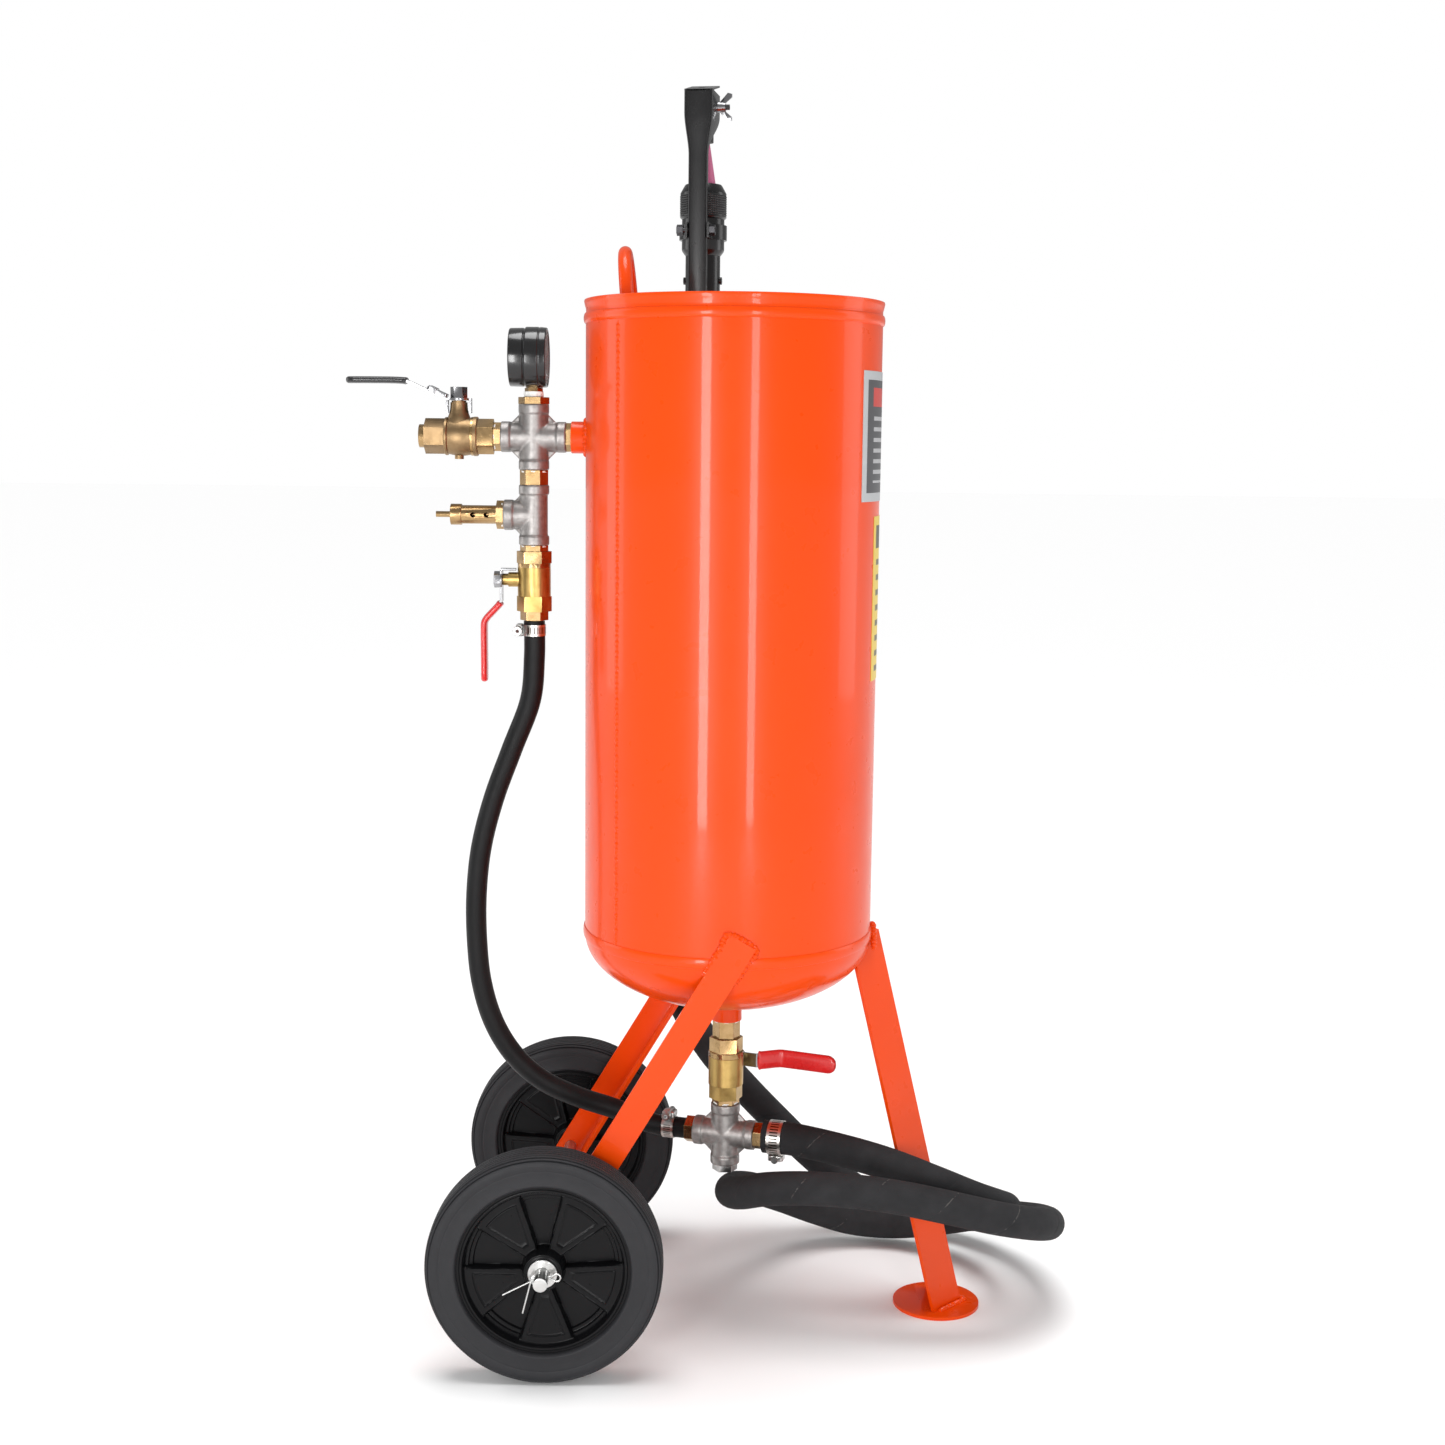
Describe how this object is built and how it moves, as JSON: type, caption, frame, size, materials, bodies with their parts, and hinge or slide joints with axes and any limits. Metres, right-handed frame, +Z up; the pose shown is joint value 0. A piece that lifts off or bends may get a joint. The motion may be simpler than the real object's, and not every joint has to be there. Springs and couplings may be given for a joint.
{
  "type": "abrasive blasting pot",
  "caption": "Portable pressure abrasive blasting pot: upright tank with filling dish on wheeled legs, air manifold with gauge and ball valves, mixing cross and a coiled hose with a lever gun.",
  "frame": {"origin": "middle of the bounding box on the floor, measured without the two hoses", "axes": "+Z up, +X from the wheels towards the front foot, +Y towards the side where the gun is stored"},
  "size_m": [0.6601, 0.404, 1.129],
  "materials": {
    "tank_paint": "glossy orange powder coat",
    "frame_paint": "glossy orange powder coat",
    "seal_rubber": "matte",
    "zinc_steel": "zinc plated",
    "label_film": null,
    "brass": "forged and machined",
    "cast_steel": "cast, satin grey",
    "gauge_black": "black enamel",
    "dial_white": "matte white",
    "clear_glass": "clear",
    "needle_red": "matte",
    "seat_white": "smooth",
    "hose_rubber": "satin black",
    "blast_hose_rubber": "matte black, cloth wrapped",
    "gun_black": "satin black",
    "dark_steel": "blackened",
    "pink_ceramic": "satin pink",
    "tyre_rubber": "matte",
    "hub_plastic": "satin black",
    "chrome": "polished",
    "sleeve_black": "dipped, satin",
    "sleeve_red": "dipped, satin"
  },
  "bodies": {
    "pot": {"tank_barrel": "tank_paint", "bottom_head": "tank_paint", "top_dish": "tank_paint", "rim_collar": "tank_paint", "weld_bosses": "tank_paint", "lift_handle": "tank_paint", "rear_legs": "frame_paint", "front_leg": "frame_paint", "foot_disc": "frame_paint", "hose_clip": "frame_paint", "filler_seal": "seal_rubber", "inner_air_pipe": "zinc_steel", "axle": "zinc_steel", "axle_washers": "zinc_steel", "split_pins": "zinc_steel", "cross_plug": "zinc_steel", "hose_clamps": "zinc_steel", "side_labels": "label_film", "pipe_nipples": "brass", "gauge_bushing": "brass", "inlet_bushing": "brass", "inlet_valve_body": "brass", "hose_valve_body": "brass", "grit_valve_body": "brass", "valve_end_caps": "brass", "relief_valve_body": "brass", "hose_barbs": "brass", "manifold_cross": "cast_steel", "branch_tee": "cast_steel", "mixing_cross": "cast_steel", "gauge_case": "gauge_black", "gauge_dial": "dial_white", "gauge_lens": "clear_glass", "valve_seats": "seat_white", "air_hose": "hose_rubber", "blast_hose": "blast_hose_rubber", "gun_grip": "gun_black", "nozzle_holder": "gun_black", "gun_clamp": "gun_black", "gun_bolts": "dark_steel", "ceramic_nozzle": "pink_ceramic"},
    "near_wheel": {"near_tyre": "tyre_rubber", "near_hub": "hub_plastic"},
    "far_wheel": {"far_tyre": "tyre_rubber", "far_hub": "hub_plastic"},
    "inlet_handle": {"inlet_valve_ball": "chrome", "inlet_lever": "chrome", "inlet_lever_sleeve": "sleeve_black"},
    "hose_handle": {"hose_valve_ball": "chrome", "hose_lever": "chrome", "hose_lever_sleeve": "sleeve_red"},
    "grit_handle": {"grit_valve_ball": "chrome", "grit_lever": "chrome", "grit_lever_sleeve": "sleeve_red"},
    "needle": {"gauge_needle": "needle_red"},
    "pull_rod": {"relief_rod": "brass"},
    "plunger": {"filler_plunger": "brass"},
    "gun_handle": {"gun_lever": "gun_black", "gun_pad": "seal_rubber"},
    "wing_nut": {"gun_wing_nut": "chrome"}
  },
  "joints": [
    {"name": "near_wheel_spin", "type": "hinge", "parent": "pot", "child": "near_wheel", "pos_m": [-0.1025, -0.1585, 0.1015], "axis": [0, 1, 0], "continuous": true},
    {"name": "far_wheel_spin", "type": "hinge", "parent": "pot", "child": "far_wheel", "pos_m": [-0.1025, 0.1585, 0.1015], "axis": [0, 1, 0], "continuous": true},
    {"name": "inlet_valve_turn", "type": "hinge", "parent": "pot", "child": "inlet_handle", "pos_m": [-0.191, 0, 0.832], "axis": [0, 0, 1], "range_deg": [0, 90]},
    {"name": "hose_valve_turn", "type": "hinge", "parent": "pot", "child": "hose_handle", "pos_m": [-0.153, 0, 0.675], "axis": [-1, 0, 0], "range_deg": [0, 90]},
    {"name": "grit_valve_turn", "type": "hinge", "parent": "pot", "child": "grit_handle", "pos_m": [0.051, 0, 0.227], "axis": [0.3746, 0.9272, 0], "range_deg": [0, 90]},
    {"name": "needle_turn", "type": "hinge", "parent": "pot", "child": "needle", "pos_m": [-0.1145, 0, 0.8702], "axis": [-1, 0, 0], "range_deg": [0, 270], "stiffness_Nm_per_rad": 0.0005, "springref_deg": -17.19},
    {"name": "relief_pull", "type": "slide", "parent": "pot", "child": "pull_rod", "axis": [-1, 0, 0], "range_m": [0, 0.004], "stiffness_N_per_m": 300, "springref_m": -0.002},
    {"name": "plunger_lift", "type": "slide", "parent": "pot", "child": "plunger", "axis": [0, 0, 1], "range_m": [0, 0.0175]},
    {"name": "gun_lever_squeeze", "type": "hinge", "parent": "pot", "child": "gun_handle", "pos_m": [0.01631, 0.11937, 0.993], "axis": [0.9877, -0.1564, 0], "range_deg": [0, 8], "stiffness_Nm_per_rad": 3, "springref_deg": -2.86},
    {"name": "wing_nut_turn", "type": "hinge", "parent": "gun_handle", "child": "wing_nut", "pos_m": [0.0373, 0.14642, 1.108], "axis": [0.9877, -0.1564, 0], "continuous": true}
  ]
}
